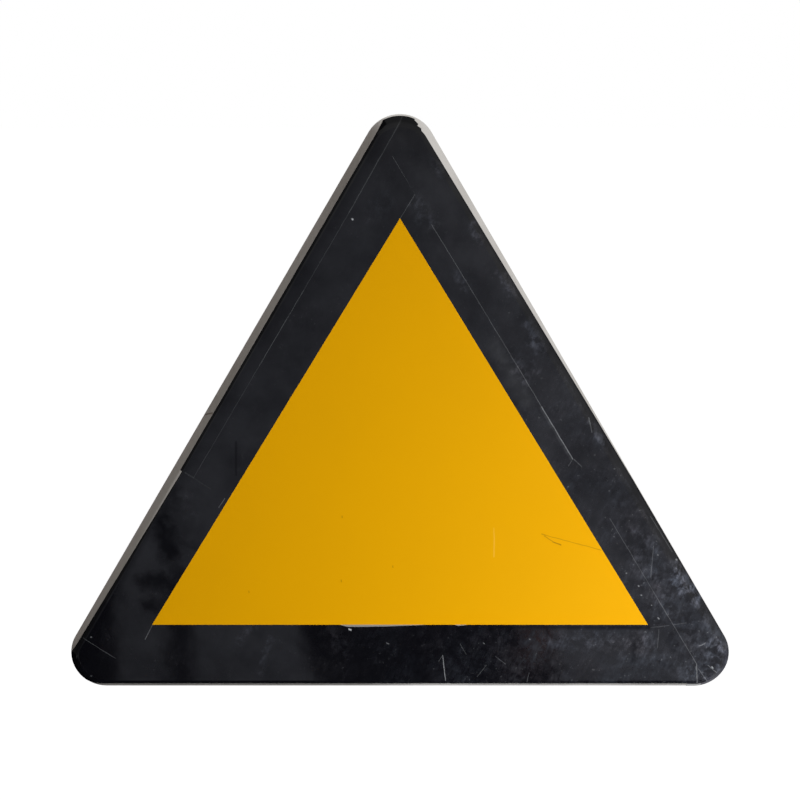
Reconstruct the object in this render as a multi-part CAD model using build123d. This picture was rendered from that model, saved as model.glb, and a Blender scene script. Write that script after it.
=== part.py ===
"""Triangular warning sign on hoop clamps.

A pressed aluminium pan carries a yellow reflective triangle and a border of black film, laid in strips. Two
slotted rails are riveted to its back. In each rail slides a clamp: a saddle, two square-headed bolts and a
strap that draw together round a post.

Millimetres, +Z up. The origin lies on the post's axis at mid-height of the lower clamp. The sign faces -Y,
and +X is to the right of someone who looks at its face.
"""
import os
from math import atan, atan2, cos, degrees, floor, pi, radians, sin, sqrt, tan

from build123d import *

os.makedirs("parts", exist_ok=True)

# Pan: an equilateral triangle with round corners and an edge that leans outward to the back
sign_side = 700.0
corner_radius = 34.5
pan_depth = 15.0
edge_lean = 8.4
sheet = 1.5
face_bend_inside = 3.5
lip_bend = 2.0
lip_width = 10.0

# Film thicknesses: where one strip laps another it stands a little higher
yellow_film = 0.35
under_film = 0.20
joining_film = 0.25
over_film = 0.30

# Yellow triangle, by the width of the border left round it
border_at_point = 59.0
border_at_base = 51.5
border_below = 61.0

# Black strips, by distances inside the edges of the flat face; a minus sign is past the edge
top_cut = 20.0
edge_strip_width = 14.2
edge_strip_lap = 1.0
cross_seam_height = 218.0
lower_strip_step = 1.0
lower_strip_lap = 3.5
lower_corner_lap = 2.5
seam_top_right = 35.7
seam_end_right = 29.4
seam_end_bottom = 20.4
seam_foot_right = 38.6
foot_lap_right = 47.5
branch_right = 18.0
branch_bottom = 62.9
right_lap_at_top = 0.9
right_lap_at_base = 10.0
foot_lap = 8.0
lap_stop = 0.1
lap_rise = 2.0

# Gaps that the bottom strip leaves under the yellow: start, end, depth and length of the steep end
long_gap = (-59.5, 29.5, 2.3, 8.0)
short_gap = (53.5, 66.5, 1.2, 3.0)

# Ragged tear in the right strip near the point, as distances from the left and right edges
tear_left = (24.0, 24.6, 29.4, 29.2, 33.6, 34.6, 41.0)
tear_right = (-4.0, 0.9, -0.5, 0.9, -1.0, -0.2, -1.5)

# Rails: a slotted extrusion with a foot on either side
rail_height = 22.0
rail_foot = 3.0
rail_foot_width = 51.0
rail_wall = 3.0
rail_lip = 4.0
rail_fillet = 2.0
rail_edge_round = 1.0
rail_end_gap = 25.0
lower_rail_drop = 100.0
rail_spacing = 210.0

# Rivets: countersunk in the face, closed on the rail's foot
rivet_shank = 2.4
rivet_head = 4.0
rivet_land = 0.3
rivet_tail = 3.8
rivet_tail_height = 1.8
rivet_least_pitch = 75.0
rivet_end = 16.0

# Clamps: strip steel bent round the post, with an ear at either end
post_radius = 38.0
strip = 4.0
strip_width = 40.0
ear_bend = 4.0
ear_margin = 16.0
ear_round = 8.0
saddle_ear = 16.0
strap_ear = 4.0
strap_opening = 8.0

# Bolts, washers and nuts
bolt_radius = 5.0
bolt_head = 16.0
bolt_head_height = 7.0
bolt_tip = 1.0
bolt_spare = 2.0
hole_gap = 0.5
head_gap = 0.75
washer_radius = 10.0
washer_thickness = 2.0
washer_gap = 0.3
washer_edge_gap = 1.0
spring_radius = 8.1
spring_thickness = 2.5
spring_slit = 1.6
spring_slit_turn = 35.0
nut_width = 17.0
nut_height = 8.0
nut_chamfer = 1.0
thread_gap = 0.15
seat_gap = 0.1

# Clearance that lets the clamps slide, and the tolerance for picking out corners
slide_gap = 0.3
near = 0.01

# Places that follow from the sizes above
cos30 = cos(radians(30))
lean_angle = atan(edge_lean / pan_depth)
lip_bend_trim = lip_bend * (1 / cos(lean_angle) + tan(lean_angle) - 1)
outer_inradius = sign_side * cos30 / 3
flat_inradius = outer_inradius + lip_bend_trim - edge_lean
face_bend = face_bend_inside + sheet
lip_bend_run = lip_bend * cos(lean_angle) / tan((pi / 2 - lean_angle) / 2)
lap_depth_at_base = pan_depth - lip_bend_run - lap_stop
lap_depth_at_point = lap_depth_at_base - lap_rise
rail_back_y = -post_radius - strip - slide_gap
rail_base_y = rail_back_y - rail_height
face_y = rail_base_y - sheet
sign_centre_z = lower_rail_drop
upper_rail_z = rail_spacing
hole_radius = bolt_radius + hole_gap
cavity_width = bolt_head + 2 * head_gap
slot_width = 2 * hole_radius
rail_body_width = cavity_width + 2 * rail_wall
rivet_row = (rail_foot_width + rail_body_width) / 4


def ear_start(ear):
    """Distance from the post's axis, along X, at which a strip's bend runs out into its flat ear."""
    reach = post_radius + strip + ear_bend
    return sqrt(reach**2 - (ear + strip + ear_bend) ** 2)


bolt_x = max(ear_start(strap_ear), ear_start(saddle_ear)) + washer_radius + washer_edge_gap
ear_end = bolt_x + ear_margin
washer_y = strap_ear + strip
spring_y = washer_y + washer_thickness
nut_y = spring_y + spring_thickness + seat_gap
bolt_end_y = nut_y + nut_height + strap_opening + bolt_spare
head_back_y = rail_back_y - rail_lip - slide_gap


def face_plane(depth):
    """Plane parallel to the face at a depth behind it, with its normal to the front."""
    return Plane((0, face_y + depth, sign_centre_z), x_dir=(1, 0, 0), z_dir=(0, -1, 0))


def outline(inradius):
    """Triangle about the sign's centre, its corners rounded to stay parallel with the outer outline."""
    angles = (pi / 2, pi * 7 / 6, pi * 11 / 6)
    corners = [(2 * inradius * cos(a), 2 * inradius * sin(a)) for a in angles]
    triangle = Polygon(*corners, align=None)
    return fillet(triangle.vertices(), corner_radius + inradius - outer_inradius)


def dish(front, back, grow, bend):
    """Solid within the leaning edge, moved outward by grow, from one depth to another."""
    inradii = [flat_inradius + d * tan(lean_angle) + grow / cos(lean_angle) for d in (front, back)]
    levels = [face_plane(d) * outline(r) for d, r in zip((front, back), inradii)]
    body = loft(levels, ruled=True)
    return fillet(body.edges().group_by(Axis.Y)[0], bend)


def at(left=None, right=None, bottom=None):
    """Point of the face at given distances inside two of the flat's edges."""
    if bottom is None:
        return ((left - right) / (2 * cos30), 2 * flat_inradius - left - right)
    z = bottom - flat_inradius
    if right is None:
        return ((left - flat_inradius + z / 2) / cos30, z)
    return ((flat_inradius - right - z / 2) / cos30, z)


def meet(a, b, c, d):
    """Point where the line through a and b crosses the line through c and d."""
    abx, abz = b[0] - a[0], b[1] - a[1]
    cdx, cdz = d[0] - c[0], d[1] - c[1]
    share = ((c[0] - a[0]) * cdz - (c[1] - a[1]) * cdx) / (abx * cdz - abz * cdx)
    return (a[0] + share * abx, a[1] + share * abz)


# The pan's outer form, which the film is laid on and lapped over
pan_form = dish(0, pan_depth, 0, face_bend)
pan_form = fillet(pan_form.edges().group_by(Axis.Y)[-1], lip_bend)


def film_blank(points):
    """Straight-sided block through the face with the given corners."""
    return extrude(face_plane(0) * Polygon(*points, align=None), amount=2 * pan_depth, both=True)


def lap_limit():
    """Block in front of the line to which film is lapped over the leaning edge."""
    front = face_y - pan_depth
    low = sign_centre_z - outer_inradius
    high = sign_centre_z + 2 * outer_inradius
    corners = (
        (front, low),
        (face_y + lap_depth_at_base, low),
        (face_y + lap_depth_at_point, high),
        (front, high),
    )
    return extrude(Plane.YZ * Polygon(*corners, align=None), amount=sign_side, both=True)


def film(points, thickness):
    """Strip of film with the given corners, dressed over the pan's face and edge."""
    skin = dish(-thickness, pan_depth, thickness, face_bend + thickness) - pan_form
    return skin & film_blank(points) & lap_limit()


def bowed_gap(start, end, depth, steep):
    """Block whose lower side drops below the yellow's bottom edge and bows back up to it."""
    level = border_below - flat_inradius
    low = (start + steep, level - depth)
    chord = Line((start, level), (end, level))
    drop = Line((start, level), low)
    bow = TangentArc(low, (end, level), tangent=(1, 0))
    return extrude(face_plane(0) * make_face([chord, drop, bow]), amount=2 * pan_depth, both=True)


# Corners that the pieces of film share
yellow_point = at(left=border_at_point, right=border_at_point)
yellow_left = at(left=border_at_base, bottom=border_below)
yellow_right = at(right=border_at_base, bottom=border_below)
seam_top = at(left=edge_strip_width, right=seam_top_right)
seam_end = at(right=seam_end_right, bottom=seam_end_bottom)
seam_foot = at(right=seam_foot_right, bottom=0)
foot_lap_left = at(right=foot_lap_right, bottom=0)[0]
point_branch = meet(yellow_left, yellow_point, seam_top, seam_end)
corner_branch = meet(yellow_right, at(right=branch_right, bottom=branch_bottom), seam_top, seam_end)
edge_strip_top = at(left=edge_strip_width, right=top_cut - edge_strip_width)
left_foot = meet(yellow_point, yellow_left, at(left=0, bottom=0), at(right=0, bottom=0))


def cross_seam(left):
    """Point on the seam that crosses the left border square to the edge."""
    return at(left=left, bottom=cross_seam_height - left / 2)


cross_inner = meet(cross_seam(0), cross_seam(border_at_base), yellow_point, yellow_left)


def make_films():
    """Yellow triangle and black strips, keyed by node name."""
    yellow = film((yellow_point, yellow_left, yellow_right), yellow_film)

    left_edge = film(
        (
            at(left=-edge_strip_lap, right=top_cut + edge_strip_lap),
            cross_seam(-edge_strip_lap),
            cross_seam(edge_strip_width),
            edge_strip_top,
        ),
        over_film,
    )
    left_upper = film(
        (seam_top, cross_seam(edge_strip_width), cross_inner, yellow_point, point_branch),
        under_film,
    )
    left_lower = film(
        (
            cross_inner,
            cross_seam(lower_strip_step),
            at(left=-lower_strip_lap, bottom=-lower_corner_lap),
            left_foot,
            yellow_left,
        ),
        joining_film,
    )

    right_inner = film((yellow_point, point_branch, corner_branch, yellow_right), under_film)
    right_outer = film(
        (
            seam_top,
            edge_strip_top,
            at(left=top_cut + right_lap_at_top, right=-right_lap_at_top),
            at(right=-right_lap_at_base, bottom=-foot_lap),
            (foot_lap_left, -flat_inradius - foot_lap),
            (foot_lap_left, -flat_inradius),
            seam_foot,
            seam_end,
        ),
        over_film,
    )
    right_outer -= film_blank([at(left=a, right=b) for a, b in zip(tear_left, tear_right)])

    bottom = film(
        (yellow_left, left_foot, seam_foot, seam_end, corner_branch, yellow_right),
        joining_film,
    )
    bottom -= bowed_gap(*long_gap)
    bottom -= bowed_gap(*short_gap)

    return {
        "yellow_sheet": yellow,
        "left_edge_strip": left_edge,
        "left_upper_strip": left_upper,
        "left_lower_strip": left_lower,
        "right_inner_strip": right_inner,
        "right_outer_strip": right_outer,
        "bottom_strip": bottom,
    }


def rail_length(z):
    """Longest rail at a height that stays clear of the pan's lip."""
    top_edge = z + rail_foot_width / 2 - sign_centre_z
    lip_x = (outer_inradius - lip_width - top_edge / 2) / cos30
    return 2 * (lip_x - rail_end_gap)


def rivet_places(z):
    """Rivet centres of the rail at a height, in two evenly spaced rows."""
    span = rail_length(z) - 2 * rivet_end
    gaps = floor(span / rivet_least_pitch)
    columns = [-span / 2 + span * i / gaps for i in range(gaps + 1)]
    return [(x, z + row) for row in (-rivet_row, rivet_row) for x in columns]


def make_rivet():
    """Rivet with its flush head at the origin and its length along +Y."""
    grip = sheet + rail_foot
    outer = (
        (0, 0),
        (rivet_head, 0),
        (rivet_shank, sheet - rivet_land),
        (rivet_shank, grip),
        (rivet_tail, grip),
        (rivet_tail, grip + rivet_tail_height / 2),
        (rivet_shank, grip + rivet_tail_height),
        (0, grip + rivet_tail_height),
    )
    return revolve(Polygon(*outer, align=None), axis=Axis.Y)


def corners_at(section, depth, half_width):
    """Pair of the section's corners at a depth and at a half-width either side."""
    level = [v for v in section.vertices() if abs(v.X - depth) < near]
    return [v for v in level if abs(abs(v.Y) - half_width) < near]


def make_rail(z):
    """Slotted rail lying along X on the pan's back."""
    cavity_depth = rail_height - rail_foot - rail_lip
    section = Pos(rail_foot / 2, 0) * Rectangle(rail_foot, rail_foot_width)
    section += Pos(rail_height / 2, 0) * Rectangle(rail_height, rail_body_width)
    section -= Pos(rail_foot + cavity_depth / 2, 0) * Rectangle(cavity_depth, cavity_width)
    section -= Pos(rail_height - rail_lip / 2, 0) * Rectangle(rail_lip, slot_width)
    section = fillet(corners_at(section, rail_foot, rail_body_width / 2), rail_fillet)
    outer = corners_at(section, rail_foot, rail_foot_width / 2)
    outer += corners_at(section, rail_height, rail_body_width / 2)
    section = fillet(outer, rail_edge_round)
    plane = Plane((0, rail_base_y, z), x_dir=(0, 1, 0), z_dir=(1, 0, 0))
    return extrude(plane * section, amount=rail_length(z) / 2, both=True)


def rod(radius, start, end):
    """Round bar along Y between two places."""
    return Pos(0, (start + end) / 2, 0) * Rot(90, 0, 0) * Cylinder(radius, end - start)


def bent_strip(ear):
    """Strip bent half round the post on the +Y side, with ears that start a distance from the post's axis."""
    centre_x = ear_start(ear)
    centre_y = ear + strip + ear_bend
    slope = degrees(atan2(centre_y, centre_x))
    inner = post_radius
    outer = post_radius + strip
    edges = [
        CenterArc((0, 0), inner, slope, 90 - slope),
        CenterArc((centre_x, centre_y), ear_bend + strip, slope + 180, 90 - slope),
        Line((centre_x, ear), (ear_end, ear)),
        Line((ear_end, ear), (ear_end, ear + strip)),
        Line((ear_end, ear + strip), (centre_x, ear + strip)),
        CenterArc((centre_x, centre_y), ear_bend, slope + 180, 90 - slope),
        CenterArc((0, 0), outer, slope, 90 - slope),
        Line((0, inner), (0, outer)),
    ]
    half = make_face(edges)
    body = extrude(half + mirror(half, about=Plane.YZ), amount=strip_width / 2, both=True)
    corners = [e for e in body.edges().filter_by(Axis.Y) if abs(abs(e.center().X) - ear_end) < near]
    body = fillet(corners, ear_round)
    for side in (-1, 1):
        body -= Pos(side * bolt_x, 0, 0) * rod(hole_radius, ear - strip, ear + 2 * strip)
    return body


def make_bolt():
    """Square-headed bolt along Y, its head held in the rail's slot."""
    head_y = head_back_y - bolt_head_height / 2
    head = Pos(0, head_y, 0) * Box(bolt_head, bolt_head_height, bolt_head)
    shank = rod(bolt_radius, head_back_y, bolt_end_y)
    shank = chamfer(shank.edges().group_by(Axis.Y)[-1], bolt_tip)
    return head + shank


def ring(outer, inner, start, end):
    """Flat ring along Y between two places."""
    return rod(outer, start, end) - rod(inner, start, end)


def make_spring_washer():
    """Split ring under a nut."""
    body = ring(spring_radius, bolt_radius + washer_gap, spring_y, spring_y + spring_thickness)
    middle = spring_y + spring_thickness / 2
    slit = Pos(spring_radius, middle, 0) * Box(2 * spring_radius, 2 * spring_thickness, spring_slit)
    return body - Rot(0, spring_slit_turn, 0) * slit


def make_nut():
    """Hexagon nut with both ends chamfered."""
    plane = Plane((0, nut_y, 0), x_dir=(1, 0, 0), z_dir=(0, 1, 0))
    body = extrude(plane * RegularPolygon(nut_width / 2, 6, major_radius=False), amount=nut_height)
    corner = nut_width / 2 / cos30
    turned = rod(corner, nut_y, nut_y + nut_height)
    turned = chamfer(turned.edges().filter_by(GeomType.CIRCLE), nut_chamfer)
    return (body & turned) - rod(bolt_radius + thread_gap, nut_y, nut_y + nut_height)


def make_clamp(z):
    """Pieces of the clamp at a height, keyed by name without its place."""
    both = [Pos(side * bolt_x, 0, z) for side in (-1, 1)]
    flat = ring(washer_radius, bolt_radius + washer_gap, washer_y, washer_y + washer_thickness)
    split = make_spring_washer()
    bolt = make_bolt()
    nut = make_nut()
    return {
        "saddle": Pos(0, 0, z) * mirror(bent_strip(saddle_ear), about=Plane.XZ),
        "strap": Pos(0, 0, z) * bent_strip(strap_ear),
        "bolts": Compound([place * bolt for place in both]),
        "flat_washers": Compound([place * flat for place in both]),
        "spring_washers": Compound([place * split for place in both]),
        "left_nut": both[0] * nut,
        "right_nut": both[1] * nut,
    }


nodes = make_films()

# Pan: the outer form less its hollow and the opening inside the turned lip
hollow = dish(sheet, pan_depth - sheet, -sheet, face_bend - sheet)
rear_opening = extrude(face_plane(pan_depth) * outline(outer_inradius - lip_width), amount=pan_depth / 2)
panel = pan_form - hollow - rear_opening

# Rails, and the rivets that pass through the pan and the rails' feet
rivet = make_rivet()
for name, z in (("lower", 0.0), ("upper", upper_rail_z)):
    rivets = [Pos(x, face_y, rivet_z) * rivet for x, rivet_z in rivet_places(z)]
    panel -= rivets
    nodes[f"{name}_rail"] = make_rail(z) - rivets
    nodes[f"{name}_rail_rivets"] = Compound(rivets)
    for piece, shape in make_clamp(z).items():
        nodes[f"{name}_{piece}"] = shape
nodes["sign_panel"] = panel

for name, shape in nodes.items():
    export_step(shape, f"parts/{name}.step")
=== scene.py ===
"""Looks of the triangular warning sign: worn film and bare metal in front, rails and hoop clamps behind."""
from math import ceil, hypot, pi, radians, tau

import bmesh
import bpy
from mathutils import Euler, Matrix, Vector


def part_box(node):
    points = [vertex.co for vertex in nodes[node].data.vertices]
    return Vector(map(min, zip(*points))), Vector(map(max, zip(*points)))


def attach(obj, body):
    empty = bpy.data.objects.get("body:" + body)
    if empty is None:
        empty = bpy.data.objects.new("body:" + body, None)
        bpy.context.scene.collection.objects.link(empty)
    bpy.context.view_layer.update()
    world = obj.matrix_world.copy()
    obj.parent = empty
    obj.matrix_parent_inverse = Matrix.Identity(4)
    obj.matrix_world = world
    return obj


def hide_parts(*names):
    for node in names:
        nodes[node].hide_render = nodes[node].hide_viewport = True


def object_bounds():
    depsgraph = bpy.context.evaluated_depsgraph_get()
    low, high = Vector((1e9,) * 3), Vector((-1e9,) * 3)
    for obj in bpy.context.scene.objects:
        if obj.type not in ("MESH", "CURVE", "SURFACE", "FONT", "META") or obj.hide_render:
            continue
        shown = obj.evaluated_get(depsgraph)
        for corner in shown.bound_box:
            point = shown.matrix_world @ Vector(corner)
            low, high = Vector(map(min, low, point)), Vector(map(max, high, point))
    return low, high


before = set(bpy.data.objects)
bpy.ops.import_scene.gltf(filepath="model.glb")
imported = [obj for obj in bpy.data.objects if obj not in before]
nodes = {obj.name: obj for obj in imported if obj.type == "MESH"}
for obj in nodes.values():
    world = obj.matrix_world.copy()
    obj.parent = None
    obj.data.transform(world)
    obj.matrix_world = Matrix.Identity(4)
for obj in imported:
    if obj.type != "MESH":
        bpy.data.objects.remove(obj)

cad_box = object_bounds()


# Pan: one pressed sheet of bare aluminium, with its edge splayed to the back and a lip turned in behind.
# It has stood outdoors: the metal is dull with oxide, rubbed paler in places and freckled with dirt.
def linear(code):
    """sRGB hex colour as linear red, green, blue and alpha."""
    channels = [int(code[i : i + 2], 16) / 255 for i in (1, 3, 5)]
    return (*(c / 12.92 if c <= 0.04045 else ((c + 0.055) / 1.055) ** 2.4 for c in channels), 1.0)


def set_inputs(tree, node, inputs):
    """Gives a node's inputs their values. A socket is linked, and a node by its first output in use."""
    for key, value in inputs.items():
        if isinstance(value, bpy.types.Node):
            value = next(socket for socket in value.outputs if socket.enabled)
        if isinstance(value, bpy.types.NodeSocket):
            tree.links.new(value, node.inputs[key])
        else:
            node.inputs[key].default_value = value


def add(tree, kind, inputs, **settings):
    """Adds a shader node with its settings and its inputs, by name or by number. A Map Range has its
    value at 0, the range it comes from at 1 and 2, and the range it goes to at 3 and 4. A Mix has its
    share at 0, and the two that it mixes at 4 and 5 for vectors or at 6 and 7 for colours."""
    made = tree.nodes.new("ShaderNode" + kind)
    for name, value in settings.items():
        setattr(made, name, value)
    set_inputs(tree, made, inputs)
    return made


def new_finish(name):
    """New material, with its node tree, its shader and the place on the piece in metres."""
    material = bpy.data.materials.new(name)
    material.use_nodes = True
    tree = material.node_tree
    place = add(tree, "TexCoord", {}).outputs["Object"]
    return material, tree, tree.nodes["Principled BSDF"], place


def dress(names, material):
    """Gives CAD nodes their finish."""
    for name in names:
        nodes[name].data.materials.clear()
        nodes[name].data.materials.append(material)


# A mark on the sign is a straight stroke, strongest along its middle and gone at its half width.
line_on_face = bpy.data.node_groups.new("line on the face", "ShaderNodeTree")
for name, kind in (("Place", "Vector"), ("Start", "Vector"), ("End", "Vector"), ("Half Width", "Float")):
    line_on_face.interface.new_socket(name, in_out="INPUT", socket_type="NodeSocket" + kind)
line_on_face.interface.new_socket("Line", in_out="OUTPUT", socket_type="NodeSocketFloat")
ends = line_on_face.nodes.new("NodeGroupInput").outputs
reach = add(line_on_face, "VectorMath", {0: ends["Place"], 1: ends["Start"]}, operation="SUBTRACT")
along = add(line_on_face, "VectorMath", {0: ends["End"], 1: ends["Start"]}, operation="SUBTRACT")
shared = add(line_on_face, "VectorMath", {0: reach, 1: along}, operation="DOT_PRODUCT")
square = add(line_on_face, "VectorMath", {0: along, 1: along}, operation="DOT_PRODUCT")
share = add(line_on_face, "Math", {0: shared, 1: square}, operation="DIVIDE", use_clamp=True)
foot = add(line_on_face, "VectorMath", {0: along, "Scale": share}, operation="SCALE")
off = add(line_on_face, "VectorMath", {0: reach, 1: foot}, operation="DISTANCE")
fading = {0: off, 1: ends["Half Width"], 2: 0.0}
line = add(line_on_face, "MapRange", fading, interpolation_type="SMOOTHSTEP")
set_inputs(line_on_face, line_on_face.nodes.new("NodeGroupOutput"), {0: line})


def flat_place(tree, place, waver):
    """Place on the sign without its depth. It is pushed about by up to waver metres, in swings about
    9 mm long, so that lines aren't ruled."""
    wander = add(tree, "TexNoise", {"Vector": place, "Scale": 1000 / 9, "Detail": 2.0})
    swing = add(tree, "VectorMath", {0: wander.outputs[1], 1: (0.5, 0.5, 0.5)}, operation="SUBTRACT")
    push = {0: swing, 1: (2 * waver, 0.0, 2 * waver), 2: place}
    pushed = add(tree, "VectorMath", push, operation="MULTIPLY_ADD")
    return add(tree, "VectorMath", {0: pushed, 1: (1.0, 0.0, 1.0)}, operation="MULTIPLY")


def draw_lines(tree, face, lines):
    """Strongest of several strokes. Each has its start and end as x and z in mm, its half width in mm
    and its strength."""
    drawn = 0.0
    for start, end, half_width, strength in lines:
        stroke = {
            "Place": face,
            "Start": (start[0] / 1000, 0.0, start[1] / 1000),
            "End": (end[0] / 1000, 0.0, end[1] / 1000),
            "Half Width": half_width / 1000,
        }
        line = add(tree, "Group", stroke, node_tree=line_on_face)
        faded = add(tree, "Math", {0: line, 1: strength}, operation="MULTIPLY")
        drawn = add(tree, "Math", {0: drawn, 1: faded}, operation="MAXIMUM")
    return drawn


# Weathered sheet aluminium: a grey bloom of oxide in soft clouds about 110 mm wide, stains about 35 mm
# wide that rain has drawn down the sheet, and brown freckles of dirt about 5 mm apart. The lines left by
# rolling run across it, drawn 2.5 mm apart, which is coarser than real ones so that they show. A dark
# scratch crosses the left edge.
scratch_waver = 0.0004
rim_scratches = [((-189.5, 175.8), (-181, 180.2), 0.9, 0.8)]

aluminium, tree, surface, place = new_finish("weathered_sheet_aluminium")
clouds = add(tree, "TexNoise", {"Vector": place, "Scale": 1000 / 110, "Detail": 5.0, "Roughness": 0.5})
bloom = add(tree, "MapRange", {0: clouds, 1: 0.35, 2: 0.7})
metal = add(tree, "Mix", {0: bloom, 6: linear("#cdcac6"), 7: linear("#c1bdb8")}, data_type="RGBA")
downward = add(tree, "Mapping", {"Vector": place, "Scale": (1.0, 1.0, 0.12)})
runs = add(tree, "TexNoise", {"Vector": downward, "Scale": 1000 / 35, "Detail": 5.0})
wet = add(tree, "MapRange", {0: runs, 1: 0.5, 2: 0.72, 3: 0.0, 4: 0.5})
stained = add(tree, "Mix", {0: wet, 6: metal, 7: linear("#aba69f")}, data_type="RGBA")
across = add(tree, "Mapping", {"Vector": place, "Scale": (0.015, 1.0, 1.0)})
rolling = add(tree, "TexNoise", {"Vector": across, "Scale": 1000 / 2.5, "Detail": 3.0})
bright = add(tree, "MapRange", {0: rolling, 1: 0.35, 2: 0.75, 3: 0.0, 4: 0.16})
rolled = add(tree, "Mix", {0: bright, 6: stained, 7: linear("#dddbd8")}, data_type="RGBA")
grit = add(tree, "TexNoise", {"Vector": place, "Scale": 1000 / 5, "Detail": 3.0})
freckles = add(tree, "MapRange", {0: grit, 1: 0.7, 2: 0.78, 3: 0.0, 4: 0.5})
scratch = draw_lines(tree, flat_place(tree, place, scratch_waver), rim_scratches)
dirt = add(tree, "Math", {0: freckles, 1: scratch}, operation="MAXIMUM")
dirty = add(tree, "Mix", {0: dirt, 6: rolled, 7: linear("#6a5c4d")}, data_type="RGBA")
relief = add(tree, "Bump", {"Height": rolling, "Strength": 0.03, "Distance": 0.0002})
dull = add(tree, "MapRange", {0: clouds, 1: 0.3, 2: 0.7, 3: 0.4, 4: 0.52})
set_inputs(tree, surface, {"Base Color": dirty, "Metallic": 1.0, "Roughness": dull, "Normal": relief})
dress(["sign_panel"], aluminium)


# Yellow triangle: one piece of retroreflective sheeting, glass beads in a clear coat over yellow.
# It is laid on the flat of the pan by hand. It is almost clean, with two scratches and a few specks.
yellow_waver = 0.0006
brown_scratches = [
    ((138, 59), (196, 42.6), 0.7, 0.45),
    ((138, 59), (142, 57.5), 1.0, 0.5),
    ((140.5, 57), (151, 50), 0.8, 0.55),
    ((149, 51), (156.5, 48), 1.0, 0.75),
    ((-56.3, 77.2), (-56.1, 75.8), 0.9, 0.5),
    ((-7.1, 26.6), (-6.9, 25.2), 0.9, 0.5),
    ((-57.5, 12), (-57.3, 10.2), 0.9, 0.5),
    ((-148, 0.6), (-147.8, -0.8), 0.9, 0.4),
]
pale_scratches = [((91.5, 65), (91.8, 35.5), 0.7, 0.45)]

# Retroreflective sheeting: yellow with very faint clouds about 90 mm wide, and a satin grain of beads
# drawn 1.5 mm wide, which is coarser than the real beads so that it shows at all.
yellow, tree, surface, place = new_finish("yellow_reflective_sheeting")
clouds = add(tree, "TexNoise", {"Vector": place, "Scale": 1000 / 90, "Detail": 3.0})
sheeting = add(tree, "Mix", {0: clouds, 6: linear("#dfa100"), 7: linear("#db9e00")}, data_type="RGBA")
face = flat_place(tree, place, yellow_waver)
brown = draw_lines(tree, face, brown_scratches)
pale = draw_lines(tree, face, pale_scratches)
scuffed = add(tree, "Mix", {0: brown, 6: sheeting, 7: linear("#7a4a10")}, data_type="RGBA")
marked = add(tree, "Mix", {0: pale, 6: scuffed, 7: linear("#f3c45a")}, data_type="RGBA")
beads = add(tree, "TexVoronoi", {"Vector": place, "Scale": 1000 / 1.5})
grain = add(tree, "Bump", {"Height": beads, "Strength": 0.03, "Distance": 0.0002})
satin = add(tree, "MapRange", {0: clouds, 1: 0.3, 2: 0.7, 3: 0.34, 4: 0.42})
set_inputs(tree, surface, {"Base Color": marked, "Roughness": satin, "Normal": grain})
set_inputs(tree, surface, {"IOR": 1.45, "Specular IOR Level": 0.05})
dress(["yellow_sheet"], yellow)


# Black border: strips of glossy film, cut and laid by hand, with fine pale painted highlights along their
# joins.
# It is smeared and scratched, and dusty towards the lower right corner, where it is scuffed grey.
# At the edge it turns back round the pan's bend, between two depths that are given here in metres.
turn_start = -0.0650
turn_end = -0.0630
smear_waver = 0.009
wiping_slope = radians(24)


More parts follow.
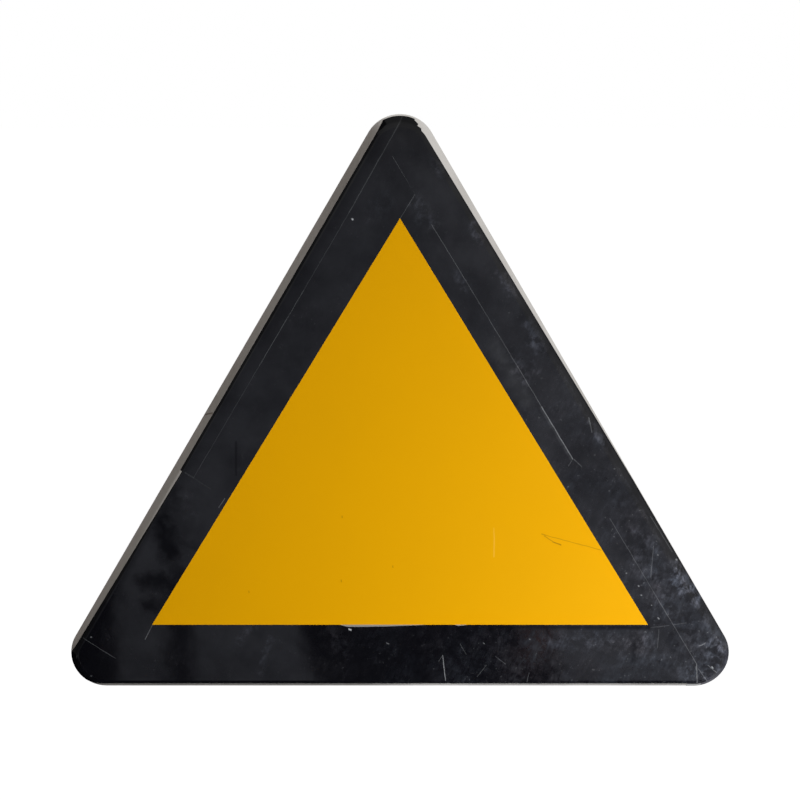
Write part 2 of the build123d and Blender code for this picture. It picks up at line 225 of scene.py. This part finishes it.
def film_finish(name, seam_highlights_and_scratches, chips, scuffs, smears_and_painted_shade, painted_shades):
    """Glossy black film: near black and smooth enough to mirror the room, with ripples about 35 mm long.
    Grease and water have left it in soft clouds about 40 mm wide, with more gloss here and less there.
    Dust lies on the lower right as a thin haze, in patches about 9 mm wide wiped into streaks of 3 by
    12 mm, and as grit drawn about 2.4 mm apart, coarser than real grit so that it shows. Film lapped
    round the edge is stretched and dull."""
    film, tree, surface, place = new_finish(name)
    face = flat_place(tree, place, scratch_waver)
    ragged = flat_place(tree, place, smear_waver)
    spot = add(tree, "SeparateXYZ", {0: place}).outputs

    # Wear grows towards the lower right. Smears, painted shade and the turned edge have less gloss and less
    # dust.
    rightward = {0: spot["Z"], 1: -0.35, 2: spot["X"]}
    lower_right = add(tree, "Math", rightward, operation="MULTIPLY_ADD")
    worn = add(tree, "MapRange", {0: lower_right, 1: -0.05, 2: 0.33, 3: 0.12, 4: 1.5})
    flat = add(tree, "MapRange", {0: spot["Y"], 1: turn_start, 2: turn_end, 3: 1.0, 4: 0.3})
    smear_and_shade_strokes = draw_lines(tree, ragged, smears_and_painted_shade)
    # Painted shade: dark strokes that dull the film's gloss and dust where its reflection is darker.
    painted_shade = draw_lines(tree, face, painted_shades)
    dark = add(tree, "Math", {0: smear_and_shade_strokes, 1: painted_shade}, operation="MAXIMUM")
    clear = add(tree, "Math", {0: 1.0, 1: dark}, operation="SUBTRACT")
    even = add(tree, "Math", {0: clear, 1: flat}, operation="MULTIPLY")
    wear_less_painted_shade = add(tree, "Math", {0: worn, 1: even}, operation="MULTIPLY")

    # Haze of dust: drifts that follow the clouds, patches in them, and streaks where it was wiped.
    clouds = add(tree, "TexNoise", {"Vector": place, "Scale": 1000 / 40, "Detail": 4.0, "Roughness": 0.55})
    field = add(tree, "SeparateColor", {0: clouds.outputs[1]}).outputs
    drifts = add(tree, "MapRange", {0: field[1], 1: 0.38, 2: 0.62, 3: 0.3, 4: 1.0})
    patches = add(tree, "TexNoise", {"Vector": place, "Scale": 1000 / 9, "Detail": 6.0, "Roughness": 0.68})
    patchy = add(tree, "MapRange", {0: patches, 1: 0.4, 2: 0.7, 3: 0.2, 4: 1.4})
    wiping = {"Vector": place, "Rotation": (0.0, wiping_slope, 0.0), "Scale": (1.0, 1.0, 4.0)}
    wiped = add(tree, "Mapping", wiping, vector_type="TEXTURE")
    streaks = add(tree, "TexNoise", {"Vector": wiped, "Scale": 1000 / 3, "Detail": 4.0, "Roughness": 0.7})
    streaky = add(tree, "MapRange", {0: streaks, 1: 0.35, 2: 0.65, 3: 0.3, 4: 1.5})
    drifted = add(tree, "Math", {0: drifts, 1: patchy}, operation="MULTIPLY")
    haze = add(tree, "Math", {0: drifted, 1: streaky}, operation="MULTIPLY")
    worn_haze = add(tree, "Math", {0: haze, 1: wear_less_painted_shade}, operation="MULTIPLY")
    thin_haze = add(tree, "Math", {0: worn_haze, 1: 0.06}, operation="MULTIPLY")

    # Scuffs: rubbed pale, in the same patches and streaks as the dust.
    torn = add(tree, "MapRange", {0: patches, 1: 0.42, 2: 0.66, 3: 0.0, 4: 0.4})
    torn_streaks = add(tree, "Math", {0: torn, 1: streaky}, operation="MULTIPLY")
    scuffed = {0: draw_lines(tree, ragged, scuffs), 1: torn_streaks, 2: thin_haze}
    rubbed = add(tree, "Math", scuffed, operation="MULTIPLY_ADD")
    hue = add(tree, "MapRange", {0: field[2], 1: 0.4, 2: 0.6})
    dust = add(tree, "Mix", {0: hue, 6: linear("#828a9c"), 7: linear("#8d8b97")}, data_type="RGBA")
    hazy = add(tree, "Mix", {0: rubbed, 6: linear("#0a0a0e"), 7: dust}, data_type="RGBA")

    # Pale marks: painted highlights along the joins and the crease, and scratches, broken here and there;
    # chips, and specks of grit.
    grit = add(tree, "TexNoise", {"Vector": place, "Scale": 1000 / 2.4, "Detail": 1.0})
    specks = add(tree, "MapRange", {0: grit, 1: 0.69, 2: 0.84, 3: 0.0, 4: 0.3})
    worn_specks = add(tree, "Math", {0: specks, 1: worn_haze}, operation="MULTIPLY")
    broken = add(tree, "MapRange", {0: patches, 1: 0.35, 2: 0.6, 3: 0.5, 4: 1.0})
    thin = add(tree, "Math", {0: draw_lines(tree, face, seam_highlights_and_scratches), 1: broken}, operation="MULTIPLY")
    coarse = add(tree, "Math", {0: thin, 1: draw_lines(tree, face, chips)}, operation="MAXIMUM")
    marks = add(tree, "Math", {0: coarse, 1: worn_specks}, operation="MAXIMUM")
    marked = add(tree, "Mix", {0: marks, 6: hazy, 7: linear("#b9bcc0")}, data_type="RGBA")

    # Gloss: as uneven as the clouds, and duller where dust lies.
    mirror = add(tree, "MapRange", {0: field[0], 1: 0.36, 2: 0.64, 3: 0.22, 4: 0.36})
    shine = add(tree, "Math", {0: mirror, 1: even}, operation="MULTIPLY")
    dull = add(tree, "MapRange", {0: worn_haze, 1: 0.0, 2: 0.9, 3: 0.07, 4: 0.22})
    ripple = add(tree, "TexNoise", {"Vector": place, "Scale": 1000 / 35, "Detail": 2.0})
    relief = add(tree, "Bump", {"Height": ripple, "Strength": 0.1, "Distance": 0.001})
    set_inputs(tree, surface, {"Base Color": marked, "Roughness": dull, "Normal": relief})
    set_inputs(tree, surface, {"IOR": 1.45, "Specular IOR Level": shine})
    return film


# Left of the border: a long seam beside the edge, a cross seam below it and dull smears near the corner.
left_film = film_finish(
    "glossy_black_film_left",
    seam_highlights_and_scratches=[
        ((2, 468), (-48, 378), 0.8, 0.09),
        ((-48, 378), (-92, 302), 0.5, 0.07),
        ((-92, 302), (-135, 228), 0.5, 0.16),
        ((-135, 228), (-200, 116), 0.5, 0.06),
        ((-208, 121), (-200, 116), 1.2, 0.07),
        ((-200, 116), (-184, 105), 0.8, 0.025),
        ((-170, 95), (-176, 86), 0.8, 0.18),
        ((-311, -48), (-280, -69), 0.5, 0.14),
    ],
    chips=[
        ((-45.2, 371.3), (-44.9, 371.1), 1.4, 0.9),
        ((-303.5, -47), (-303, -47), 1.2, 0.25),
        ((-304.5, -87.5), (-304, -87.5), 1.2, 0.12),
    ],
    scuffs=[
        ((-12, 388), (-24, 378), 15, 0.09),
        ((-207, 92), (-200, 80), 16, 0.07),
    ],
    smears_and_painted_shade=[
        ((-222, 104), (-232, 72), 15, 0.5),
        ((-232, 72), (-224, 38), 17, 0.85),
        ((-222, 50), (-200, 47), 9, 0.35),
        ((-251, 11), (-236, 12), 14, 0.75),
        ((-248, -14), (-243, -14), 11, 0.7),
        ((-220, 26), (-214, 20), 9, 0.4),
    ],
    # Painted shade along the outer edge and its lower corner, and in one short stroke.
    painted_shades=[
        ((-158.4, 152), (-158.8, 119), 2, 0.45),
        ((-24, 450), (-120, 285), 22, 0.42),
        ((-120, 285), (-214, 124), 18, 0.32),
        ((-226, 98), (-290, -13), 9, 0.45),
        ((-290, -13), (-330, -82), 12, 0.7),
    ],
)
dress(["left_edge_strip", "left_upper_strip", "left_lower_strip"], left_film)

# Right of the border: a long seam down its middle, rubbed pale along the outer edge and near the corner.
right_film = film_finish(
    "glossy_black_film_right",
    seam_highlights_and_scratches=[
        ((-7, 431.5), (14, 395), 0.6, 0.14),
        ((14, 395), (0, 372), 0.6, 0.18),
        ((30, 366), (57, 321), 0.5, 0.2),
        ((57, 321), (112.3, 228), 0.6, 0.14),
        ((112.3, 228), (136.5, 187), 0.6, 0.2),
        ((136.5, 187), (167, 135), 0.75, 0.4),
        ((135.5, 186), (166, 134), 2.2, 0.035),
        ((91, 247), (121, 194), 12, 0.03),
        ((168, 135), (176, 127), 0.6, 0.16),
        ((166, 133), (163, 128), 0.6, 0.14),
        ((204, 75), (252, -7), 0.5, 0.12),
        ((252, -7), (292, -75), 0.5, 0.2),
        # A painted highlight along the crease where the film turns round the edge.
        ((244, 75), (266, 38.5), 0.6, 0.1),
        ((294, -56), (297, -55), 0.7, 0.3),
        ((297, -55), (300, -53), 0.7, 0.3),
        ((292, -75), (293, -95), 0.6, 0.35),
        ((294, -80), (303, -93), 0.5, 0.22),
        ((303, -76), (312, -84), 0.5, 0.3),
        ((246, -38), (281, -32), 0.5, 0.12),
        ((247, 47), (245, 15), 0.5, 0.16),
        ((264, -27), (273, -43), 0.6, 0.1),
        ((182, 176), (185, 162), 0.8, 0.18),
    ],
    chips=[
        ((233, 6), (233.4, 5.7), 1.1, 0.45),
        ((236, -3.5), (236.4, -3.7), 1.0, 0.4),
        ((221, 19), (221.4, 18.8), 1.0, 0.3),
        ((246, -14), (246.4, -14.2), 0.9, 0.25),
        ((307, -78), (308, -79), 1.2, 0.5),
        ((253, -27), (254, -28), 1.0, 0.4),
        ((270, 31), (271, 30), 1.1, 0.3),
    ],
    scuffs=[
        ((270, 20), (281, 2), 15, 0.8),
        ((287, 2), (292, -8), 10, 1.2),
        ((314, -57), (316, -76), 14, 0.9),
        ((312, -48), (300, -86), 16, 0.3),
        ((300, -22), (304, -30), 8, 0.25),
        ((230, 62), (250, 40), 10, 0.25),
        ((184, 170), (199, 150), 6, 0.35),
        ((122, 268), (134, 245), 9, 0.35),
        ((128, 228), (133, 222), 7, 0.25),
        ((100, 315), (110, 298), 8, 0.35),
        ((71, 364), (76, 350), 7, 0.3),
        ((34, 424), (37, 418), 8, 0.3),
        ((54, 318), (62, 304), 8, 0.25),
        ((14, 388), (30, 370), 13, 0.25),
        ((112, 232), (120, 214), 10, 0.3),
        ((234, 38), (296, -66), 20, 0.2),
    ],
    smears_and_painted_shade=[
        ((250, -30), (262, -36), 8, 0.3),
        # This stroke is painted shade, darkening the film where its reflection is darker.
        ((194, 146), (196, 95), 22, 0.22),
    ],
    # Painted shade at the top, and as a thin dark line along the outer edge.
    painted_shades=[
        ((5, 474), (14, 446), 30, 0.28),
        ((30, 441), (214, 131), 1.4, 0.6),
        ((214, 131), (320, -50), 1.4, 0.5),
    ],
)
dress(["right_inner_strip", "right_outer_strip"], right_film)

# Bottom of the border: one white scratch near the middle and finer ones beside it.
bottom_film = film_finish(
    "glossy_black_film_bottom",
    seam_highlights_and_scratches=[
        ((-243, -34), (-250, -49), 0.6, 0.25),
        ((42, -66), (38, -72), 0.5, 0.2),
        ((42, -66), (45, -92), 0.6, 0.5),
        ((59, -54), (65, -65), 0.5, 0.14),
        ((76, -88), (85, -76), 0.5, 0.16),
        ((94, -67), (104, -75), 0.5, 0.14),
        ((127, -84), (125, -94), 0.5, 0.18),
        ((246, -37), (264, -35), 0.5, 0.12),
        ((254, -39), (253, -58), 0.5, 0.14),
        ((264, -27), (292, -75), 0.5, 0.2),
        ((292, -75), (293, -95), 0.6, 0.35),
    ],
    chips=[
        ((-49.8, -38.6), (-48.4, -39.4), 1.4, 0.95),
        ((-13, -53), (-11, -54), 0.9, 0.2),
        ((82, -53), (83, -54), 0.9, 0.2),
    ],
    scuffs=[
        ((290, -86), (278, -84), 10, 0.3),
        ((225, -62), (262, -72), 16, 0.06),
        ((145, -51), (245, -53), 12, 0.32),
        ((-144, -37), (-157, -50), 7, 0.2),
        ((-125, -47), (-137, -81), 6, 0.14),
        ((-66, -38), (-52, -62), 12, 0.1),
    ],
    smears_and_painted_shade=[
        ((-86, -38), (-77, -64), 10, 0.5),
        ((10, -42), (24, -92), 18, 0.55),
        ((228, -55), (230, -73), 5, 0.5),
        ((263, -50), (271, -60), 8, 0.4),
        ((256, -71), (268, -79), 7, 0.4),
    ],
    # Painted shade: a shadow line under the yellow and a dark stroke right of the middle.
    painted_shades=[
        ((95, -36), (165, -36.5), 3.2, 0.5),
        ((165, -36.5), (243, -37), 4.4, 0.6),
        ((144, -38), (146, -62), 3, 0.5),
        ((146, -62), (143, -96), 7, 0.4),
    ],
)
dress(["bottom_strip"], bottom_film)


# Rails: slotted extrusions of aluminium, sawn to length and riveted across the back of the pan.
# The die leaves fine lines along their length, and the metal has kept its pale mill finish.
rails = ["lower_rail", "upper_rail"]
rail_edge_round = 0.0003
weld_gap = 1e-6
sharp_angle = radians(40)

# Mill-finish aluminium: pale, with darker clouds about 30 mm wide. The die's lines are drawn 1.2 mm
# apart, which is coarser than real ones so that they show.
rail_metal, tree, surface, place = new_finish("mill_finish_aluminium")
stretched = add(tree, "Mapping", {"Vector": place, "Scale": (0.01, 1.0, 1.0)})
die_lines = add(tree, "TexNoise", {"Vector": stretched, "Scale": 1000 / 1.2, "Detail": 3.0})
clouds = add(tree, "TexNoise", {"Vector": place, "Scale": 1000 / 30, "Detail": 4.0})
streaks = add(tree, "MapRange", {0: die_lines, 1: 0.3, 2: 0.7, 3: 0.0, 4: 0.6})
streaked = add(tree, "Mix", {0: streaks, 6: linear("#c9cacb"), 7: linear("#adaeb0")}, data_type="RGBA")
clouded = add(tree, "MapRange", {0: clouds, 1: 0.4, 2: 0.75, 3: 0.0, 4: 0.5})
metal = add(tree, "Mix", {0: clouded, 6: streaked, 7: linear("#a3a3a2")}, data_type="RGBA")
relief = add(tree, "Bump", {"Height": die_lines, "Strength": 0.12, "Distance": 0.0002})
dull = add(tree, "MapRange", {0: clouds, 1: 0.3, 2: 0.7, 3: 0.3, 4: 0.42})
set_inputs(tree, surface, {"Base Color": metal, "Metallic": 1.0, "Roughness": dull, "Normal": relief})
dress(rails, rail_metal)


def soften(names, width):
    """Rounds the sharp edges of CAD nodes a little, so that they catch the light."""
    for name in names:
        weld = nodes[name].modifiers.new("weld", "WELD")
        weld.merge_threshold = weld_gap
        bevel = nodes[name].modifiers.new("bevel", "BEVEL")
        bevel.width = width
        bevel.segments = 2
        bevel.angle_limit = sharp_angle


soften(rails, rail_edge_round)


# Rivets: solid aluminium, set flush in the face under the film and closed by hammer on the rails' feet.
# The closed ends are bright where the hammer struck, with small dents about 2 mm wide.
rivet_metal, tree, surface, place = new_finish("hammered_aluminium")
dents = add(tree, "TexVoronoi", {"Vector": place, "Scale": 1000 / 2.0}, feature="SMOOTH_F1")
relief = add(tree, "Bump", {"Height": dents, "Strength": 0.35, "Distance": 0.0004})
shade = add(tree, "Mix", {0: dents, 6: linear("#d2d2d1"), 7: linear("#a9a8a6")}, data_type="RGBA")
struck = add(tree, "MapRange", {0: dents, 1: 0.0, 2: 0.8, 3: 0.28, 4: 0.45})
set_inputs(tree, surface, {"Base Color": shade, "Metallic": 1.0, "Roughness": struck, "Normal": relief})
dress(["lower_rail_rivets", "upper_rail_rivets"], rivet_metal)


# Saddles and straps: strips of steel bent round the post, punched and then dipped in molten zinc.
# They close on the post from both sides, and their bolts draw them together.
hoops = [f"{height}_{piece}" for height in ("lower", "upper") for piece in ("saddle", "strap")]
hoop_edge_round = 0.0005

# Hot-dip galvanised steel: the zinc froze in crystals about 9 mm wide, so the grey changes from one
# spangle to the next, with edges that wander every 12 mm or so. Dull patina lies in clouds about 25 mm
# wide, and the skin is uneven every 3 mm.
galvanised, tree, surface, place = new_finish("hot_dip_galvanised_steel")
warp = add(tree, "TexNoise", {"Vector": place, "Scale": 1000 / 12, "Detail": 3.0})
bent = add(tree, "Mix", {0: 0.006, 4: place, 5: warp.outputs[1]}, data_type="VECTOR")
spangle = add(tree, "TexVoronoi", {"Vector": bent, "Scale": 1000 / 9})
crystal = add(tree, "SeparateColor", {0: spangle.outputs[1]}).outputs
zinc = add(tree, "Mix", {0: crystal[0], 6: linear("#9fa3a6"), 7: linear("#c2c5c7")}, data_type="RGBA")
clouds = add(tree, "TexNoise", {"Vector": place, "Scale": 1000 / 25, "Detail": 5.0})
patina = add(tree, "MapRange", {0: clouds, 1: 0.45, 2: 0.75, 3: 0.0, 4: 0.7})
weathered = add(tree, "Mix", {0: patina, 6: zinc, 7: linear("#8d8f8f")}, data_type="RGBA")
spread = add(tree, "MapRange", {0: crystal[1], 1: 0.0, 2: 1.0, 3: 0.36, 4: 0.55})
skin = add(tree, "TexNoise", {"Vector": place, "Scale": 1000 / 3, "Detail": 4.0})
relief = add(tree, "Bump", {"Height": skin, "Strength": 0.15, "Distance": 0.0004})
set_inputs(tree, surface, {"Base Color": weathered, "Metallic": 1.0, "Roughness": spread, "Normal": relief})
dress(hoops, galvanised)
soften(hoops, hoop_edge_round)


# Bolts: square-headed and zinc plated, with a rolled thread. The heads sit in the rails' slots.
# Each clamp has two, drawn here with their thread, which the solid shanks of the frame stand in for.
# Sizes are in metres, and thread_start is a place along the frame's Y axis.
head_width = 0.016
head_height = 0.007
head_bevel = 0.0008
thread_radius = 0.005
thread_root = 0.0042
thread_pitch = 0.0015
thread_crest = 0.0004
thread_start = -0.018
tip_chamfer = 0.001
steps_per_turn = 24
shank_sides = 32
smooth_angle = radians(35)

# Zinc plate: bright and slightly blue, with a thin haze in clouds about 6 mm wide.
zinc_plate, tree, surface, place = new_finish("zinc_plated_steel")
haze = add(tree, "TexNoise", {"Vector": place, "Scale": 1000 / 6, "Detail": 4.0})
plated = add(tree, "Mix", {0: haze, 6: linear("#d4d8dd"), 7: linear("#a7a9a8")}, data_type="RGBA")
dull = add(tree, "MapRange", {0: haze, 1: 0.3, 2: 0.7, 3: 0.2, 4: 0.38})
relief = add(tree, "Bump", {"Height": haze, "Strength": 0.06, "Distance": 0.0003})
set_inputs(tree, surface, {"Base Color": plated, "Metallic": 1.0, "Roughness": dull, "Normal": relief})


def add_head(bm, low):
    """Adds a square head with rounded edges to an empty bmesh, on the Y axis from low upwards."""
    middle = Matrix.Translation((0, low + head_height / 2, 0))
    size = Matrix.Diagonal((head_width, head_height, head_width, 1))
    bmesh.ops.create_cube(bm, size=1.0, matrix=middle @ size)
    bmesh.ops.bevel(
        bm, geom=bm.edges[:], offset=head_bevel, segments=2, profile=0.5, affect="EDGES", material=-1
    )


def add_shank(bm, low):
    """Adds the plain shank, from just inside the head that starts at low up to the thread."""
    shank_low = low + head_height - head_bevel
    middle = (shank_low + thread_start) / 2
    bmesh.ops.create_cone(
        bm,
        cap_ends=True,
        segments=shank_sides,
        radius1=thread_radius,
        radius2=thread_radius,
        depth=thread_start - shank_low,
        matrix=Matrix.Translation((0, middle, 0)) @ Matrix.Rotation(-pi / 2, 4, "X"),
    )


def add_thread(bm, high):
    """Adds the thread up to high: one ridge is wound up, cut off square at both ends and chamfered."""
    before = set(bm.verts)
    rise = (thread_pitch - thread_crest) / 2
    start = thread_start - 2 * thread_pitch
    crest = [(thread_radius, rise), (thread_radius, rise + thread_crest)]
    profile = [(thread_root, 0), *crest, (thread_root, thread_pitch)]
    verts = [bm.verts.new((radius, start + height, 0)) for radius, height in profile]
    edges = [bm.edges.new(pair) for pair in zip(verts, verts[1:])]
    turns = ceil((high - start) / thread_pitch) + 1
    bmesh.ops.spin(
        bm,
        geom=verts + edges,
        axis=(0, 1, 0),
        dvec=(0, thread_pitch / steps_per_turn, 0),
        angle=tau * turns,
        steps=steps_per_turn * turns,
    )
    thread = [vert for vert in bm.verts if vert not in before]
    bmesh.ops.remove_doubles(bm, verts=thread, dist=weld_gap)
    for height, outward in ((thread_start - thread_pitch / 2, -1), (high, 1)):
        thread = [vert for vert in bm.verts if vert not in before]
        parts = dict.fromkeys(part for vert in thread for part in (vert, *vert.link_edges, *vert.link_faces))
        cut = bmesh.ops.bisect_plane(
            bm, geom=list(parts), plane_co=(0, height, 0), plane_no=(0, outward, 0), clear_outer=True
        )
        rim = [part for part in cut["geom_cut"] if isinstance(part, bmesh.types.BMEdge)]
        bmesh.ops.contextual_create(bm, geom=rim)
    for vert in bm.verts:
        limit = thread_radius - max(0.0, vert.co.y - (high - tip_chamfer))
        radius = hypot(vert.co.x, vert.co.z)
        if vert not in before and radius > limit:
            vert.co.x *= limit / radius
            vert.co.z *= limit / radius


def new_piece(name, bm, material, body):
    """Object from a finished bmesh, smooth but for its sharp edges, riding on a body."""
    bmesh.ops.recalc_face_normals(bm, faces=bm.faces)
    mesh = bpy.data.meshes.new(name)
    bm.to_mesh(mesh)
    bm.free()
    mesh.shade_smooth()
    mesh.set_sharp_from_angle(angle=smooth_angle)
    mesh.materials.append(material)
    piece = bpy.data.objects.new(name, mesh)
    bpy.context.scene.collection.objects.link(piece)
    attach(piece, body)
    return piece


for height in ("lower", "upper"):
    low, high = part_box(f"{height}_bolts")
    pair = bmesh.new()
    for side in ("left", "right"):
        nut_low, nut_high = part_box(f"{height}_{side}_nut")
        centre = (nut_low + nut_high) / 2
        single = bmesh.new()
        add_head(single, low.y)
        add_shank(single, low.y)
        add_thread(single, high.y)
        bmesh.ops.translate(single, verts=single.verts, vec=(centre.x, 0, centre.z))
        mesh = bpy.data.meshes.new("bolt")
        single.to_mesh(mesh)
        single.free()
        pair.from_mesh(mesh)
        bpy.data.meshes.remove(mesh)
    bolts = new_piece(f"{height}_threaded_bolts", pair, zinc_plate, f"{height}_clamp")
    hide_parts(f"{height}_bolts")


# Washers and nuts: a flat washer, a split spring washer and a hexagon nut on each bolt, all of steel.
# They are zinc plated like the bolts, and the nuts draw the straps up to the saddles.
small_pieces = ("flat_washers", "spring_washers", "left_nut", "right_nut")
dress([f"{height}_{piece}" for height in ("lower", "upper") for piece in small_pieces], zinc_plate)


# Studio: a pale floor below the sign, soft even light all round and one large lamp to the right.
# Cards stand for the room that bare metal and glossy film mirror. They show in mirrors alone.
floor_drop = 0.5
floor_size = 12.0
sheet_glow = 0.9
lamp_place = Vector((0.61, -0.6, -0.07))
lamp_aim = Vector((0, -0.066, 0.1))
lamp_power = 9.9
lamp_size = 1.0
sky_level = 0.33


def seen(tree):
    """1 for rays that show the background itself: to the camera, in gloss and through glass."""
    ray = add(tree, "LightPath", {}).outputs
    gloss = add(tree, "Math", {0: ray["Is Camera Ray"], 1: ray["Is Glossy Ray"]}, operation="MAXIMUM")
    return add(tree, "Math", {0: gloss, 1: ray["Is Transmission Ray"]}, operation="MAXIMUM")


def stage_sheet(name, colour, size, place, turn):
    """Rectangle of the studio, not part of the object. It is seen and mirrored about as it is coloured."""
    paint, tree, surface, _ = new_finish(name)
    glow = add(tree, "Math", {0: seen(tree), 1: sheet_glow}, operation="MULTIPLY")
    set_inputs(tree, surface, {"Base Color": linear(colour), "Roughness": 0.9, "Specular IOR Level": 0.0})
    set_inputs(tree, surface, {"Emission Color": linear(colour), "Emission Strength": glow})
    bm = bmesh.new()
    spread = Matrix.Diagonal((size[0], size[1], 1.0, 1.0))
    spot = Matrix.Translation(place) @ turn.to_matrix().to_4x4() @ spread
    bmesh.ops.create_grid(bm, x_segments=1, y_segments=1, size=0.5, matrix=spot)
    mesh = bpy.data.meshes.new(name)
    bm.to_mesh(mesh)
    bm.free()
    mesh.materials.append(paint)
    sheet = bpy.data.objects.new(name, mesh)
    bpy.context.scene.collection.objects.link(sheet)
    return sheet


floor_level = cad_box[0][2] - floor_drop
high_left = Vector((-1.03, 0.4, 1.19))
face_middle = Vector((0, -0.0658, 0.19395))
lying = Euler((0, 0, 0))
askew = Euler((0, 0, radians(-2.5)))
standing = Euler((pi / 2, 0, 0))
leaning = Euler((pi / 2, radians(-14), 0))
facing_right = Euler((pi / 2, 0, radians(90)))
facing_edge = Euler((pi / 2, 0, radians(63)))
facing_sign = (face_middle - high_left).to_track_quat("Z", "Y").to_euler()
stage_sheet("floor", "#ebebeb", (floor_size, floor_size), Vector((0, 0, floor_level)), lying)

# Each card has its colour, width and height, middle and turn. Where two overlap, one lies higher.
cards = [
    ("rear_card", "#9a9896", (0.8, 0.55), Vector((-0.4, 0.55, floor_level + 0.01)), lying),
    ("front_right_card", "#e2e5f1", (2.6, 4.8), Vector((0.9, -3.7, floor_level + 0.005)), lying),
    ("front_card", "#bcbfca", (2.3, 4.8), Vector((-1.02, -3.7, floor_level + 0.01)), askew),
    ("lower_card", "#15161a", (2.2, 1.4), Vector((-0.5, -0.45, floor_level + 0.01)), lying),
    ("corner_card", "#08080a", (2.2, 1.2), Vector((-1.52, 0.7, floor_level + 0.02)), lying),
    ("right_corner_card", "#8a8a92", (2.2, 1.2), Vector((1.52, 0.7, floor_level + 0.02)), lying),
    ("left_card", "#65615e", (1.4, 1.4), Vector((-1.1, 0.55, 0.35)), facing_edge),
    ("high_left_card", "#625e5b", (1.3, 0.95), high_left, facing_sign),
    ("far_left_card", "#8a8886", (3.0, 2.2), Vector((-2.0, -1.6, 0.5)), facing_right),
    ("corner_flag", "#06070a", (0.62, 0.25), Vector((-0.695, -1.2, floor_level + 0.13)), standing),
    ("narrow_flag", "#08080c", (0.036, 0.25), Vector((-0.301, -1.2, floor_level + 0.13)), standing),
    ("middle_flag", "#2a2a2c", (0.336, 0.25), Vector((0.045, -1.2, floor_level + 0.13)), leaning),
    ("warm_flag", "#e6b8b2", (0.033, 0.075), Vector((0.186, -1.19, floor_level + 0.165)), standing),
    ("dark_flag", "#050506", (0.022, 0.25), Vector((0.031, -1.19, floor_level + 0.13)), standing),
]
for name, colour, size, spot, turn in cards:
    card = stage_sheet(name, colour, size, spot, turn)
    card.visible_camera = False
    card.visible_diffuse = False
    card.visible_shadow = False

world = bpy.data.worlds.new("studio")
bpy.context.scene.world = world
world.use_nodes = True
tree = world.node_tree
strength = add(tree, "MapRange", {0: seen(tree), 1: 0.0, 2: 1.0, 3: sky_level, 4: 1.0})
set_inputs(tree, tree.nodes["Background"], {"Color": linear("#ffffff"), "Strength": strength})

lamp = bpy.data.lights.new("window_lamp", "AREA")
lamp.energy = lamp_power
lamp.size = lamp_size
lamp_object = bpy.data.objects.new("window_lamp", lamp)
bpy.context.scene.collection.objects.link(lamp_object)
lamp_object.location = lamp_place
lamp_object.rotation_euler = (lamp_aim - lamp_place).to_track_quat("-Z", "Y").to_euler()
lamp_object.visible_camera = False
lamp_object.visible_glossy = False


# Camera: in front of the sign and a little above it, looking down on the middle of its face.
# It stands far enough off, with a long lens, that the edges hardly converge.
camera_rise = radians(14.89)
camera_distance = 3.0
camera_lens = 140.3
camera_sensor = 36.0
camera = bpy.data.cameras.new("camera")
camera.lens = camera_lens
camera.sensor_width = camera_sensor
camera_object = bpy.data.objects.new("camera", camera)
bpy.context.scene.collection.objects.link(camera_object)
tilt = Euler((pi / 2 - camera_rise, 0, 0))
camera_object.rotation_euler = tilt
camera_object.location = face_middle + tilt.to_matrix() @ Vector((0, 0, camera_distance))
bpy.context.scene.camera = camera_object
bpy.context.scene.view_settings.view_transform = "Standard"
